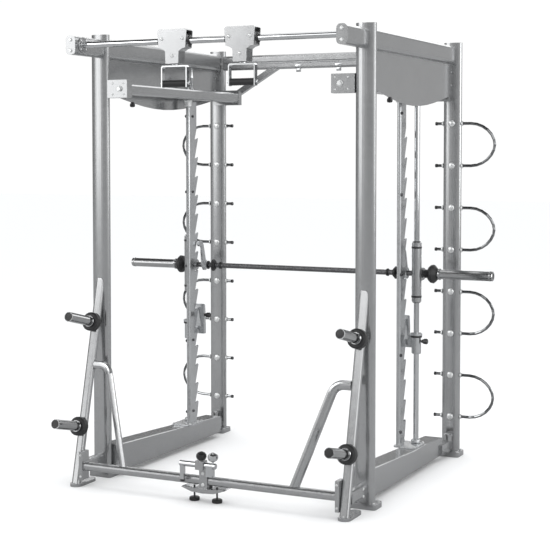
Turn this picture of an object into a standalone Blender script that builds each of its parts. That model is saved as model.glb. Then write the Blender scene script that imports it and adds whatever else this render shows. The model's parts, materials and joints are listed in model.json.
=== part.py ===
"""Smith machine: a plate-loaded barbell frame with guided bar, catch racks and pull-up trolleys.

Metres, +Z up, the front looks along -Y. Depth positions below are measured from the plane
of the front uprights; SHIFT_Y then centres the footprint on the origin.
"""
import bpy
import bmesh
import math
from mathutils import Vector

# ---------------------------------------------------------------- driving sizes
HEIGHT = 2.250          # top of the uprights
POST_X = 0.724          # upright centre, half the frame width
DEPTH = 1.250           # front to rear upright centres
POST_W = 0.100          # upright section across
POST_T = 0.042          # upright section front to back
CROWN = 2.5             # how full the upright's oval section is, 2 is an ellipse
WALL = 0.003
GAP = 0.0003            # running gap between neighbouring parts
SHOE_T = 0.025          # floor shoe thickness
SHOE_HALF = 0.065       # half width of a floor shoe

BASE_X = 0.678          # base beam centre
BASE_W = 0.100
BASE_Z = (0.027, 0.136)  # underside, and top where the rack stands
BASE_TOP = (0.168, 0.122)  # top at the front and at the rear
BASE_END = 1.100        # rear end of the box section, a tongue goes on to the upright
SEAT_Y = (0.685, 0.845)  # level stretch under the rack
TOP_X, TOP_W = 0.718, 0.054
TOP_Z = (2.133, 2.231)
ARM_Z = (2.133, 2.225)
ARM_FRONT = -0.274      # front end of the pull-up arms
PULL_Y, PULL_Z, PULL_R = -0.209, 2.183, 0.015
TROLLEY_X = {"left": -0.168, "right": 0.192}
GRIP_Z = 1.983

GUIDE_Z = (1.948, 2.001)
GUIDE_X = (0.560, 0.640)
ROD_X, ROD_Y, ROD_R = 0.678, 0.815, 0.014
RACK_X, RACK_Y = 0.620, 0.710
TOOTH_PITCH = 0.1055
TOOTH_COUNT = 15
TOOTH_Y = (0.775, 0.812)

BAR_Y, BAR_Z, BAR_R = 0.862, 1.026, 0.014
BAR_HALF = 1.0735
SLEEVE_R = 0.025
STOP_Z = 0.612          # underside of the safety stops

LEG_TOP = (-0.020, 0.960)
LEG_FOOT = (-0.240, 0.020)
LEG_W, LEG_T = 0.046, 0.030
HORN_R, HORN_LEN = 0.024, 0.232
HORN_Z = (0.795, 0.285)
CROSS_Y, CROSS_Z = -0.223, 0.100

LOOP_Z = [1.8142 - 0.2287 * i for i in range(8)]
LOOP_R = 0.008
LOOP_IN, LOOP_OUT = 0.626, 0.968
LOOP_NOSE = 0.132       # length of a loop's curved end
LOOP_CURVE = 1.9        # fullness of that end, 2 is an ellipse

FRONT_Y = -0.424241     # foremost point, tip of the lower storage horns
REAR_Y = 1.2850         # rearmost point, back edge of the rear shoes
SHIFT_Y = -(FRONT_Y + REAR_Y) / 2

SIDES = (("left", -1.0), ("right", 1.0))

# ---------------------------------------------------------------- scene set-up
for old in list(bpy.data.objects):
    bpy.data.objects.remove(old, do_unlink=True)
for old in list(bpy.data.collections):
    bpy.data.collections.remove(old)

PARTS = bpy.data.collections.new("smith_machine")
TOOLS = bpy.data.collections.new("smith_machine_cutters")
bpy.context.scene.collection.children.link(PARTS)
bpy.context.scene.collection.children.link(TOOLS)

PAINT = (0.55, 0.56, 0.57, 1.0)
CHROME = (0.80, 0.81, 0.82, 1.0)
STEEL = (0.62, 0.63, 0.64, 1.0)
BLACK = (0.03, 0.03, 0.03, 1.0)


def material(name, colour, metallic, roughness):
    mat = bpy.data.materials.new(name)
    mat.use_nodes = True
    shader = mat.node_tree.nodes.get("Principled BSDF")
    shader.inputs["Base Color"].default_value = colour
    shader.inputs["Metallic"].default_value = metallic
    shader.inputs["Roughness"].default_value = roughness
    return mat


LOOK = {
    "paint": (PAINT, 0.7, 0.45),
    "chrome": (CHROME, 1.0, 0.10),
    "steel": (STEEL, 1.0, 0.35),
    "rubber": (BLACK, 0.0, 0.80),
    "plastic": (BLACK, 0.0, 0.40),
}


# ---------------------------------------------------------------- outlines
def rounded(cx, cy, w, h, r, n=3):
    """Rounded rectangle outline, anticlockwise."""
    pts = []
    for k, (sx, sy) in enumerate(((1, 1), (-1, 1), (-1, -1), (1, -1))):
        ox, oy = cx + sx * (w / 2 - r), cy + sy * (h / 2 - r)
        for i in range(n + 1):
            a = math.radians(90 * k + 90 * i / n)
            pts.append((ox + r * math.cos(a), oy + r * math.sin(a)))
    return pts


def oval(cx, cy, a, b, power, n=36):
    """Outline fuller than an ellipse when power is above 2, anticlockwise."""
    pts = []
    for i in range(n):
        c, t = math.cos(2 * math.pi * i / n), math.sin(2 * math.pi * i / n)
        pts.append((cx + a * math.copysign(abs(c) ** (2 / power), c),
                    cy + b * math.copysign(abs(t) ** (2 / power), t)))
    return pts


def inset(pts, d):
    """Offset an anticlockwise outline inwards by d with mitred corners."""
    out = []
    for i, p in enumerate(pts):
        a, b, c = Vector(pts[i - 1]), Vector(p), Vector(pts[(i + 1) % len(pts)])
        e1, e2 = (b - a).normalized(), (c - b).normalized()
        n1, n2 = Vector((-e1.y, e1.x)), Vector((-e2.y, e2.x))
        m = (n1 + n2).normalized()
        out.append(tuple(b + m * (d / max(0.3, m.dot(n1)))))
    return out


TURN = {"x": (math.pi / 2, 0, math.pi / 2), "y": (math.pi / 2, 0, 0), "z": (0, 0, 0)}


def world(x, y, z):
    """A point of the machine, moved so that the footprint is centred."""
    return Vector((x, y + SHIFT_Y, z))


# ---------------------------------------------------------------- bodies
def link(name, mesh, look, collection=None):
    """A named object in the parts collection, or a hidden wire tool in the cutters collection."""
    obj = bpy.data.objects.new(name, mesh)
    if collection is None:
        PARTS.objects.link(obj)
        mesh.materials.append(material(name, *LOOK[look]))
    else:
        collection.objects.link(obj)
        obj.hide_render = True
        obj.display_type = "WIRE"
    return obj


def spline(curve, pts, cyclic):
    line = curve.splines.new("POLY")
    line.points.add(len(pts) - 1)
    for point, p in zip(line.points, pts):
        point.co = (p[0], p[1], p[2] if len(p) > 2 else 0.0, 1.0)
    line.use_cyclic_u = cyclic


def solid(name, curve, look, collection=None):
    """The welded mesh of a filled curve, as an object with its origin where the curve has it."""
    source = bpy.data.objects.new(name + "_curve", curve)
    bpy.context.scene.collection.objects.link(source)
    graph = bpy.context.evaluated_depsgraph_get()
    mesh = bpy.data.meshes.new_from_object(source.evaluated_get(graph))
    mesh.name = name
    bm = bmesh.new()
    bm.from_mesh(mesh)
    bmesh.ops.remove_doubles(bm, verts=bm.verts, dist=0.00002)
    bmesh.ops.recalc_face_normals(bm, faces=bm.faces)
    bm.to_mesh(mesh)
    bm.free()
    bpy.data.objects.remove(source)
    bpy.data.curves.remove(curve)
    return link(name, mesh, look, collection)


def extruded(name, look, outlines, axis, a, b, collection=None, about=(0.0, 0.0)):
    """Flat outlines in the plane across an axis, extruded from station a to station b.

    about is where the object's origin lies in that plane, on the joint's axis for a moving part.
    """
    curve = bpy.data.curves.new(name, "CURVE")
    curve.dimensions = "2D"
    curve.fill_mode = "BOTH"
    curve.extrude = abs(b - a) / 2
    for pts in outlines:
        spline(curve, [(u - about[0], v - about[1]) for u, v in pts], True)
    obj = solid(name, curve, look, collection)
    mid = (a + b) / 2
    obj.rotation_euler = TURN[axis]
    obj.location = {"x": world(mid, *about), "y": world(about[0], mid, about[1]),
                    "z": world(*about, mid)}[axis]
    return obj


def prism(name, look, pts, axis, a, b, collection=None, about=(0.0, 0.0)):
    return extruded(name, look, [pts], axis, a, b, collection, about)


def pipe(name, look, pts, wall, axis, a, b, collection=None):
    """Open-ended hollow section."""
    return extruded(name, look, [pts, inset(pts, wall)], axis, a, b, collection)


def capped(name, look, pts, wall, axis, open_end, shut_end):
    """Hollow section shut at one end."""
    way = 1 if shut_end > open_end else -1
    obj = prism(name, look, pts, axis, open_end, shut_end)
    return cut(obj, prism(name + "_bore", look, inset(pts, wall), axis, open_end - way * 0.01,
                          shut_end - way * wall, TOOLS))


def lathe(name, look, profile, axis, centre, n=20, hole=0.0, collection=None, spot=None, turn=None):
    """Turned piece: (station, radius) pairs on an axis through centre; hole bores it through.

    spot and turn set it at a point with its own rotation instead.
    """
    line = profile if profile[0][0] > profile[-1][0] else profile[::-1]
    (top, low) = (line[0][0], line[-1][0])
    line = line + [(low, hole), (top, hole)] if hole else [(top, 0.0)] + line + [(low, 0.0)]
    edges = [(i, i + 1) for i in range(len(line) - 1)]
    if hole:
        edges.append((len(line) - 1, 0))
    mesh = bpy.data.meshes.new(name)
    mesh.from_pydata([(r, 0.0, t) for t, r in line], edges, [])
    obj = link(name, mesh, look, collection)
    screw = obj.modifiers.new("turned", "SCREW")
    screw.steps = screw.render_steps = n
    screw.use_merge_vertices = True
    screw.merge_threshold = 0.00002
    obj.rotation_euler = turn or TURN[axis]
    if spot is None:
        spot = {"x": (0, *centre), "y": (centre[0], 0, centre[1]), "z": (*centre, 0)}[axis]
    obj.location = world(*spot)
    return obj


def box(name, look, lo, hi, collection=None):
    """Plain block between two corners."""
    mesh = bpy.data.meshes.new(name)
    bm = bmesh.new()
    bmesh.ops.create_cube(bm, size=1.0)
    bmesh.ops.scale(bm, vec=Vector(hi) - Vector(lo), verts=bm.verts)
    bm.to_mesh(mesh)
    bm.free()
    obj = link(name, mesh, look, collection)
    obj.location = world(*((Vector(lo) + Vector(hi)) / 2))
    return obj


def span(s, a, b):
    """X interval of a handed part, mirrored for the left side."""
    return (min(s * a, s * b), max(s * a, s * b))


def hbox(name, look, s, x, y, z, collection=None):
    lo, hi = span(s, *x)
    return box(name, look, (lo, y[0], z[0]), (hi, y[1], z[1]), collection)


def bar_along(name, look, path, radius, collection=None, section=None):
    """Bent bar: a bevelled curve along a path, round or with its own section outline."""
    curve = bpy.data.curves.new(name, "CURVE")
    curve.dimensions = "3D"
    curve.twist_mode = "Z_UP"
    curve.use_fill_caps = True
    spline(curve, path, False)
    if section:
        outline = bpy.data.curves.new(name + "_section", "CURVE")
        outline.dimensions = "2D"
        spline(outline, section, True)
        guide = bpy.data.objects.new(name + "_section", outline)
        TOOLS.objects.link(guide)
        guide.hide_render = True
        curve.bevel_mode = "OBJECT"
        curve.bevel_object = guide
    else:
        curve.bevel_depth = radius
        curve.bevel_resolution = 2
    obj = solid(name, curve, look, collection)
    obj.data.shade_smooth()
    obj.data.set_sharp_from_angle(angle=math.radians(40))
    obj.location = world(0, 0, 0)
    return obj


def fillet(pts, radius, n=4):
    """Round the inner corners of an open path."""
    pts = [Vector(p) for p in pts]
    out = [pts[0]]
    for i in range(1, len(pts) - 1):
        a, b, c = pts[i - 1], pts[i], pts[i + 1]
        u, v = (a - b).normalized(), (c - b).normalized()
        half = u.angle(v) / 2
        d = radius / math.tan(half)
        centre = b + (u + v).normalized() * (radius / math.sin(half))
        p, q = b + u * d - centre, b + v * d - centre
        angle = p.angle(q)
        for k in range(n + 1):
            t = k / n
            out.append(centre + (p * math.sin((1 - t) * angle) + q * math.sin(t * angle))
                       / math.sin(angle))
    out.append(pts[-1])
    return [tuple(p) for p in out]


def join(target, tool, how):
    mod = target.modifiers.new(how.lower() + "_" + tool.name, "BOOLEAN")
    mod.object = tool
    mod.operation = how
    mod.solver = "EXACT"
    return target


def add(target, tool):
    return join(target, tool, "UNION")


def cut(target, tool):
    return join(target, tool, "DIFFERENCE")


def cope(obj, s, y):
    """Shape the end of a part to the crowned face of the upright it meets."""
    face = oval(s * POST_X, y, POST_W / 2 + GAP, POST_T / 2 + GAP, CROWN)
    return cut(obj, prism("cope_%s_%d" % (obj.name, s), "paint", face, "z", 0.0, HEIGHT + 0.1, TOOLS))


# ---------------------------------------------------------------- uprights
for end, y in (("front", 0.0), ("rear", DEPTH)):
    for side, s in SIDES:
        outline = oval(s * POST_X, y, POST_W / 2, POST_T / 2, CROWN)
        post = capped("upright_%s_%s" % (end, side), "paint", outline, WALL, "z", SHOE_T + GAP, HEIGHT)
        if end == "rear":
            for k, z in enumerate(LOOP_Z):
                stations = [(s * (POST_X - POST_W), LOOP_R + GAP), (s * (POST_X + POST_W), LOOP_R + GAP)]
                cut(post, lathe("loop_bore_%s_%d" % (side, k), "paint", stations, "x", (DEPTH, z), 12, 0,
                                TOOLS))

# ---------------------------------------------------------------- base beams with floor shoes
for side, s in SIDES:
    w, (z0, z1) = BASE_W / 2, BASE_Z
    x = s * BASE_X
    y0, y1 = POST_T / 2 + GAP, BASE_END
    rise = [(SEAT_Y[1], z1), (SEAT_Y[0], z1)]
    outline = [(y0, z0), (y1, z0), (y1, BASE_TOP[1])] + rise + [(y0, BASE_TOP[0])]
    beam = prism("base_beam_" + side, "paint", outline, "x", x - w, x + w)
    edges = beam.modifiers.new("rounding", "BEVEL")
    edges.width = 2 * WALL
    edges.segments = 2
    edges.limit_method = "ANGLE"
    # the front end is shut, the rear end is open
    past = y1 + 0.010
    bore = [(y0 + WALL, z0 + WALL), (past, z0 + WALL), (past, BASE_TOP[1] - WALL)]
    bore += [(y, z - WALL) for y, z in rise] + [(y0 + WALL, BASE_TOP[0] - WALL)]
    cut(beam, prism("base_bore_" + side, "paint", bore, "x", x - w + WALL, x + w - WALL, TOOLS))
    add(beam, hbox("base_tongue_" + side, "paint", s, (0.690, 0.740),
                   (BASE_END - 0.040, DEPTH - POST_T / 2 - GAP), (z0 + 0.0005, 0.085), TOOLS))
    for k, (ya, yb, pa, pb) in enumerate(((-0.035, 0.060, 0.026, 0.056),
                                          (DEPTH - 0.070, DEPTH + 0.035, DEPTH - 0.064, DEPTH - 0.026))):
        xa, xb = span(s, POST_X - SHOE_HALF, POST_X + SHOE_HALF)
        plate = prism("shoe_plate_%s_%d" % (side, k), "paint",
                      rounded((xa + xb) / 2, (ya + yb) / 2, xb - xa, yb - ya, 0.012, 2),
                      "z", 0.0, SHOE_T, TOOLS)
        pad = hbox("shoe_pad_%s_%d" % (side, k), "paint", s, (0.662, 0.712), (pa, pb),
                   (SHOE_T - 0.004, z0 + 0.0015), TOOLS)
        add(beam, plate)
        add(beam, pad)

# ---------------------------------------------------------------- top beams and side panels
for side, s in SIDES:
    outline = rounded(s * TOP_X, sum(TOP_Z) / 2, TOP_W, TOP_Z[1] - TOP_Z[0], 0.020, 4)
    beam = pipe("top_beam_" + side, "paint", outline, WALL, "y", POST_T / 3, DEPTH - POST_T / 3)
    cope(beam, s, 0.0)
    cope(beam, s, DEPTH)
    outline = rounded(s * TOP_X, sum(ARM_Z) / 2, TOP_W, ARM_Z[1] - ARM_Z[0], 0.020, 4)
    arm = capped("pullup_arm_" + side, "paint", outline, WALL, "y", -POST_T / 3, ARM_FRONT)
    cope(arm, s, 0.0)
    edge = []
    y0, y1 = POST_T / 2 + GAP, DEPTH - POST_T / 2 - GAP
    for i in range(13):
        t = i / 12
        edge.append((y0 + (y1 - y0) * t, 1.966 - 0.076 * math.sin(math.pi * t) ** 1.1))
    top = TOP_Z[0] - GAP
    xa, xb = span(s, 0.7220, 0.7260)
    prism("side_panel_" + side, "paint", edge + [(y1, top), (y0, top)], "x", xa, xb)

# ---------------------------------------------------------------- rear crossbeam and braces
half = POST_X - POST_W / 2 - GAP
deep = half + 0.010     # ends shaped to the uprights start this far out
z0, z1, c = 2.138, 2.220, 0.010
w = 0.020
section = [(DEPTH + w, z0 + c), (DEPTH + w, z1 - c), (DEPTH + w - c, z1), (DEPTH - w + c, z1),
           (DEPTH - w, z1 - c), (DEPTH - w, z0 + 0.045), (DEPTH - w + 0.006, z0 + 0.041),
           (DEPTH - w + 0.006, z0 + 0.035), (DEPTH - w, z0 + 0.031), (DEPTH - w, z0 + c),
           (DEPTH - w + c, z0), (DEPTH + w - c, z0)]
crossbeam = pipe("rear_crossbeam", "paint", section, WALL, "x", -deep, deep)
for side, s in SIDES:
    shape = [(s * deep, 1.929), (s * deep, 1.967), (s * 0.392, z0 + 0.0015), (s * 0.325, z0 + 0.0015)]
    add(crossbeam, prism("corner_brace_" + side, "paint", shape, "y", DEPTH - 0.015, DEPTH + 0.015,
                         TOOLS))
    cope(crossbeam, s, DEPTH)

# ---------------------------------------------------------------- guide beams, rods
for side, s in SIDES:
    xa, xb = span(s, *GUIDE_X)
    outline = rounded((xa + xb) / 2, sum(GUIDE_Z) / 2, xb - xa, GUIDE_Z[1] - GUIDE_Z[0], 0.010, 2)
    beam = pipe("guide_beam_" + side, "paint", outline, WALL, "y", 0.021, DEPTH - POST_T / 2 - 0.001)
    add(beam, hbox("guide_front_plate_" + side, "paint", s, (0.556, half), (-0.020, 0.027),
                   (1.931, 2.021), TOOLS))
    add(beam, hbox("guide_rear_plate_" + side, "paint", s, (0.5575, 0.7212),
                   (DEPTH - 0.058, DEPTH - POST_T / 2 - GAP), (1.9335, 2.0185), TOOLS))
    add(beam, hbox("guide_boss_" + side, "paint", s, (0.638, 0.7195), (ROD_Y - 0.045, ROD_Y + 0.045),
                   (1.9465, 2.0025), TOOLS))
    cut(beam, lathe("guide_vent_" + side, "paint", [(-0.05, 0.012), (0.06, 0.012)], "y",
                    (s * 0.600, sum(GUIDE_Z) / 2), 12, 0, TOOLS))
    cut(beam, lathe("guide_bore_" + side, "paint", [(1.90, ROD_R + GAP), (2.10, ROD_R + GAP)], "z",
                    (s * ROD_X, ROD_Y), 20, 0, TOOLS))
    z0 = BASE_Z[1] + GAP
    lathe("guide_rod_" + side, "chrome", [(z0, ROD_R), (2.054, ROD_R), (2.060, ROD_R - 0.005)], "z",
          (s * ROD_X, ROD_Y), 20)

# ---------------------------------------------------------------- catch racks
for side, s in SIDES:
    zb = BASE_Z[1] + GAP
    zt = GUIDE_Z[0] - 0.003
    post = lathe("catch_rack_" + side, "steel", [(zb + 0.004, 0.0115), (zt, 0.0115)], "z",
                 (s * RACK_X, RACK_Y), 16)
    lo, hi = 0.175, zt - 0.008
    edge = [(0.716, lo), (0.795, lo)]
    z = 0.262
    for i in range(TOOTH_COUNT):
        edge += [(TOOTH_Y[1], z - 0.006), (TOOTH_Y[1] - 0.003, z), (TOOTH_Y[0], z - 0.010)]
        z += TOOTH_PITCH
    edge += [(0.795, z - 0.06), (0.795, hi), (0.716, hi)]
    xa, xb = span(s, RACK_X - 0.004, RACK_X + 0.004)
    add(post, prism("tooth_plate_" + side, "steel", edge, "x", xa, xb, TOOLS))
    xa, xb = span(s, 0.597, 0.722)
    foot = prism("rack_foot_" + side, "steel",
                 rounded((xa + xb) / 2, 0.765, xb - xa, 0.150, 0.015, 2), "z", zb, zb + 0.008, TOOLS)
    cut(foot, lathe("rack_foot_bore_" + side, "steel", [(0.1, ROD_R + GAP), (0.2, ROD_R + GAP)], "z",
                    (s * ROD_X, ROD_Y), 20, 0, TOOLS))
    add(post, foot)
    web = hbox("rack_web_" + side, "steel", s, (RACK_X - 0.004, RACK_X + 0.004), (0.722, 0.790),
               (zb + 0.004, lo + 0.004), TOOLS)
    add(post, web)

# ---------------------------------------------------------------- guided bar
bar_c = (BAR_Y, BAR_Z)
lathe("bar", "chrome", [(-BAR_HALF + 0.006, 0.012), (-BAR_HALF + 0.008, BAR_R),
                        (BAR_HALF - 0.008, BAR_R), (BAR_HALF - 0.006, 0.012)], "x", bar_c, 20)
bore = BAR_R + GAP
for side, s in SIDES:
    lathe("bar_sleeve_" + side, "chrome",
          [(s * 0.7765, 0.023), (s * 0.7795, SLEEVE_R), (s * (BAR_HALF - 0.003), SLEEVE_R),
           (s * BAR_HALF, 0.022)], "x", bar_c, 24, bore)
    lathe("bar_collar_" + side, "rubber",
          [(s * 0.7078, 0.022), (s * 0.7220, 0.022), (s * 0.7300, 0.036), (s * 0.7420, 0.047),
           (s * 0.7560, 0.049), (s * 0.7640, 0.042), (s * 0.7760, 0.029)], "x", bar_c, 20, bore)
    # hook plate: hub round the bar, arm leaning forward and up, finger turned down at the tip
    hub = [(BAR_Y + 0.030 * math.cos(math.radians(a)), BAR_Z + 0.030 * math.sin(math.radians(a)))
           for a in range(-110, 81, 19)]
    arm = [(BAR_Y - 0.020, BAR_Z + 0.115), (BAR_Y - 0.040, BAR_Z + 0.139),
           (BAR_Y - 0.072, BAR_Z + 0.137), (BAR_Y - 0.078, BAR_Z + 0.118),
           (BAR_Y - 0.066, BAR_Z + 0.108), (BAR_Y - 0.048, BAR_Z + 0.112),
           (BAR_Y - 0.038, BAR_Z + 0.098), (BAR_Y - 0.029, BAR_Z + 0.006)]
    xa, xb = span(s, 0.598, 0.610)
    hook = prism("bar_hook_" + side, "steel", hub + arm, "x", xa, xb, None, bar_c)
    add(hook, lathe("hook_hub_" + side, "steel", [(s * 0.582, 0.022), (s * 0.6125, 0.022)], "x",
                    bar_c, 20, 0, TOOLS))
    cut(hook, lathe("hook_bore_" + side, "steel", [(s * 0.57, bore), (s * 0.63, bore)], "x",
                    bar_c, 20, 0, TOOLS))
    # carriage: long sleeve on the guide rod, bearing housing round the bar
    sleeve = lathe("carriage_" + side, "paint",
                   [(0.880, 0.021), (0.886, 0.025), (1.189, 0.025), (1.195, 0.021)], "z",
                   (s * ROD_X, ROD_Y), 20)
    house = [(ROD_Y + 0.006, BAR_Z - 0.034)] + \
            [(BAR_Y + 0.031 * math.cos(math.radians(a)), BAR_Z + 0.031 * math.sin(math.radians(a)))
             for a in range(-90, 91, 20)] + [(ROD_Y + 0.006, BAR_Z + 0.034)]
    xa, xb = span(s, 0.6540, 0.7020)
    add(sleeve, prism("bar_housing_" + side, "paint", house, "x", xa, xb, TOOLS))
    cut(sleeve, lathe("housing_bore_" + side, "paint", [(s * 0.64, bore), (s * 0.72, bore)], "x",
                      bar_c, 20, 0, TOOLS))
    cut(sleeve, lathe("carriage_bore_" + side, "paint",
                      [(0.80, ROD_R + GAP), (1.25, ROD_R + GAP)], "z", (s * ROD_X, ROD_Y), 20, 0, TOOLS))

# ---------------------------------------------------------------- safety stops
for side, s in SIDES:
    z = STOP_Z
    stop = lathe("stop_" + side, "steel",
                 [(z, 0.022), (z + 0.003, 0.025), (z + 0.094, 0.025), (z + 0.095, 0.031),
                  (z + 0.106, 0.031), (z + 0.108, 0.029)], "z", (s * ROD_X, ROD_Y), 20)
    add(stop, hbox("stop_arm_" + side, "steel", s, (0.584, 0.682), (0.8165, 0.8405),
                   (z + 0.030, z + 0.092), TOOLS))
    nose = [(0.8170, z + 0.086), (0.8400, z + 0.086), (0.8400, z + 0.140), (0.8330, z + 0.192),
            (0.8180, z + 0.198)]
    xa, xb = span(s, 0.5850, 0.6350)
    add(stop, prism("stop_nose_" + side, "steel", nose, "x", xa, xb, TOOLS))
    cut(stop, lathe("stop_bore_" + side, "steel", [(z - 0.1, ROD_R + GAP), (z + 0.2, ROD_R + GAP)],
                    "z", (s * ROD_X, ROD_Y), 20, 0, TOOLS))
    # the spring pin points the same way on both stops: outward on the right, inward on the left
    pin_x, pin_y, pin_z = (0.6965, ROD_Y, z + 0.066) if s > 0 else (-0.6000, 0.8290, z + 0.135)
    cut(stop, lathe("pin_bore_" + side, "steel", [(pin_x - 0.0065, 0.0048), (pin_x + 0.030, 0.0048)],
                    "x", (pin_y, pin_z), 12, 0, TOOLS))
    stem = 0.0120 if s > 0 else 0.0180
    knob = [(0.0, 0.0045), (stem, 0.0045), (stem + 0.0005, 0.0090), (stem + 0.0075, 0.0100),
            (stem + 0.0115, 0.0140), (stem + 0.0275, 0.0150), (stem + 0.0315, 0.0110)]
    lathe("stop_pin_" + side, "plastic", [(pin_x + a, r) for a, r in knob], "x", (pin_y, pin_z), 12)

# ---------------------------------------------------------------- pull-up bar and trolleys
inner = TOP_X - TOP_W / 2 - GAP
lathe("pullup_bar", "chrome", [(-inner, PULL_R), (inner, PULL_R)], "x", (PULL_Y, PULL_Z), 20)
for side, s in SIDES:
    x = TROLLEY_X[side]
    tee = [(x - 0.035, 2.0753), (x + 0.035, 2.0753), (x + 0.037, 2.134), (x + 0.052, 2.144),
           (x + 0.073, 2.150), (x + 0.079, 2.229), (x + 0.072, 2.2375), (x - 0.072, 2.2375),
           (x - 0.079, 2.229), (x - 0.073, 2.150), (x - 0.052, 2.144), (x - 0.037, 2.134)]
    trolley = prism("trolley_" + side, "paint", tee, "y", PULL_Y - 0.031, PULL_Y + 0.031, None,
                    (x, PULL_Z))
    # the head is a box open at both ends, with a bush round the bar at each end
    cut(trolley, box("trolley_pocket_" + side, "paint", (x - 0.1, PULL_Y - 0.026, 2.153),
                     (x + 0.1, PULL_Y + 0.026, 2.2315), TOOLS))
    for k, xa in enumerate((x - 0.066, x + 0.046)):
        add(trolley, box("trolley_bush_%s_%d" % (side, k), "paint", (xa, PULL_Y - 0.028, 2.151),
                         (xa + 0.020, PULL_Y + 0.028, 2.212), TOOLS))
    cut(trolley, box("trolley_neck_%s" % side, "paint", (x - 0.029, PULL_Y - 0.026, 2.082),
                     (x + 0.029, PULL_Y + 0.026, 2.165), TOOLS))
    cut(trolley, lathe("trolley_bore_" + side, "paint",
                       [(x - 0.1, PULL_R + GAP), (x + 0.1, PULL_R + GAP)], "x",
                       (PULL_Y, PULL_Z), 20, 0, TOOLS))
    bow = [(x + 0.070, 1.964), (x + 0.070, 2.060), (x + 0.064, 2.068), (x - 0.064, 2.068),
           (x - 0.070, 2.060), (x - 0.070, 1.964), (x - 0.0640, 1.964), (x - 0.0640, 2.056),
           (x - 0.060, 2.061), (x + 0.060, 2.061), (x + 0.0640, 2.056), (x + 0.0640, 1.964)]
    stirrup = prism("stirrup_" + side, "chrome", bow, "y", PULL_Y - 0.013, PULL_Y + 0.013, None,
                    (x, GRIP_Z))
    add(stirrup, lathe("stirrup_stem_" + side, "chrome", [(2.063, 0.012), (2.0750, 0.012)], "z",
                       (x, PULL_Y), 16, 0, TOOLS))
    add(stirrup, lathe("stirrup_axle_" + side, "chrome", [(x - 0.067, 0.005), (x + 0.067, 0.005)],
                       "x", (PULL_Y, GRIP_Z), 12, 0, TOOLS))
    lathe("grip_" + side, "rubber",
          [(x - 0.0632, 0.014), (x - 0.0610, 0.0160), (x + 0.0610, 0.0160), (x + 0.0632, 0.014)],
          "x", (PULL_Y, GRIP_Z), 20, 0.0053)

# ---------------------------------------------------------------- slanted front legs, horns
lean = math.atan2(LEG_TOP[0] - LEG_FOOT[0], LEG_TOP[1] - LEG_FOOT[1])
LEG_LEN = math.hypot(LEG_TOP[0] - LEG_FOOT[0], LEG_TOP[1] - LEG_FOOT[1])
OUT = (-math.cos(lean), math.sin(lean))     # square to the leg, away from the machine
FACE = -POST_T / 2 - GAP                    # where front parts meet the uprights


def leg_y(z):
    """Depth of the leg's centre line at a height."""
    return LEG_FOOT[0] + (z - LEG_FOOT[1]) * math.tan(lean)


for side, s in SIDES:
    leg = pipe("front_leg_" + side, "paint", rounded(0, 0, LEG_W, LEG_T, 0.012, 3), WALL, "z",
               -0.040, LEG_LEN + 0.080)
    leg.rotation_euler = (-lean, 0, 0)
    half_way = (LEG_LEN + 0.040) / 2
    leg.location = world(s * POST_X, LEG_FOOT[0] + half_way * math.sin(lean),
                         LEG_FOOT[1] + half_way * math.cos(lean))
    cut(leg, hbox("leg_top_trim_" + side, "paint", s, (0.6, 0.8), (FACE, 0.3), (0.6, 1.3), TOOLS))
    cut(leg, hbox("leg_low_trim_" + side, "paint", s, (0.6, 0.8), (-0.4, 0.0), (-0.2, 0.008), TOOLS))
    add(leg, prism("leg_foot_" + side, "paint",
                   rounded(s * POST_X, -0.184, 0.062, 0.176, 0.030, 4), "z", 0.0, 0.014, TOOLS))
    add(leg, prism("leg_tie_" + side, "paint", rounded(s * POST_X, 0.090, LEG_W - 0.002, 0.060, 0.012, 2),
                   "y", -0.205, FACE, TOOLS))
    for level, z in zip(("upper", "lower"), HORN_Z):
        start = LEG_T / 2 + GAP
        spot = (s * POST_X, leg_y(z) + OUT[0] * start, z + OUT[1] * start)
        square = (math.pi / 2 - lean, 0, 0)
        lathe("storage_horn_%s_%s" % (level, side), "chrome", [(0.0, HORN_R), (HORN_LEN, HORN_R)],
              "z", None, 20, HORN_R - WALL, None, spot, square)
        lathe("horn_bumper_%s_%s" % (level, side), "rubber",
              [(0.006, 0.040), (0.010, 0.047), (0.038, 0.047), (0.044, 0.038)],
              "z", None, 20, HORN_R + GAP, None, spot, square)

# ---------------------------------------------------------------- front crossbar and gussets
inner = POST_X - LEG_W / 2 - GAP
bar = pipe("front_crossbar", "paint", rounded(CROSS_Y, CROSS_Z, 0.046, 0.040, 0.014, 3), WALL, "x",
           -inner, inner)
for side, s in SIDES:
    add(bar, hbox("cross_bracket_" + side, "paint", s, (0.681, inner), (-0.254, -0.194),
                  (0.034, 0.176), TOOLS))
    cut(bar, lathe("cross_drain_" + side, "paint", [(s * 0.66, 0.010), (s * 0.72, 0.010)], "x",
                   (CROSS_Y, CROSS_Z), 12, 0, TOOLS))
    y = leg_y(0.588)
    path = fillet([(s * inner, y, 0.588), (s * 0.618, y, 0.588),
                   (s * 0.462, CROSS_Y, CROSS_Z + 0.010)], 0.060, 5)
    brace = bar_along("gusset_" + side, "paint", path, None, None, oval(0, 0, 0.015, 0.023, 2, 14))
    cut(brace, box("gusset_trim_" + side, "paint", (-0.8, -0.4, 0.0), (0.8, 0.0, CROSS_Z + 0.0206), TOOLS))

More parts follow.
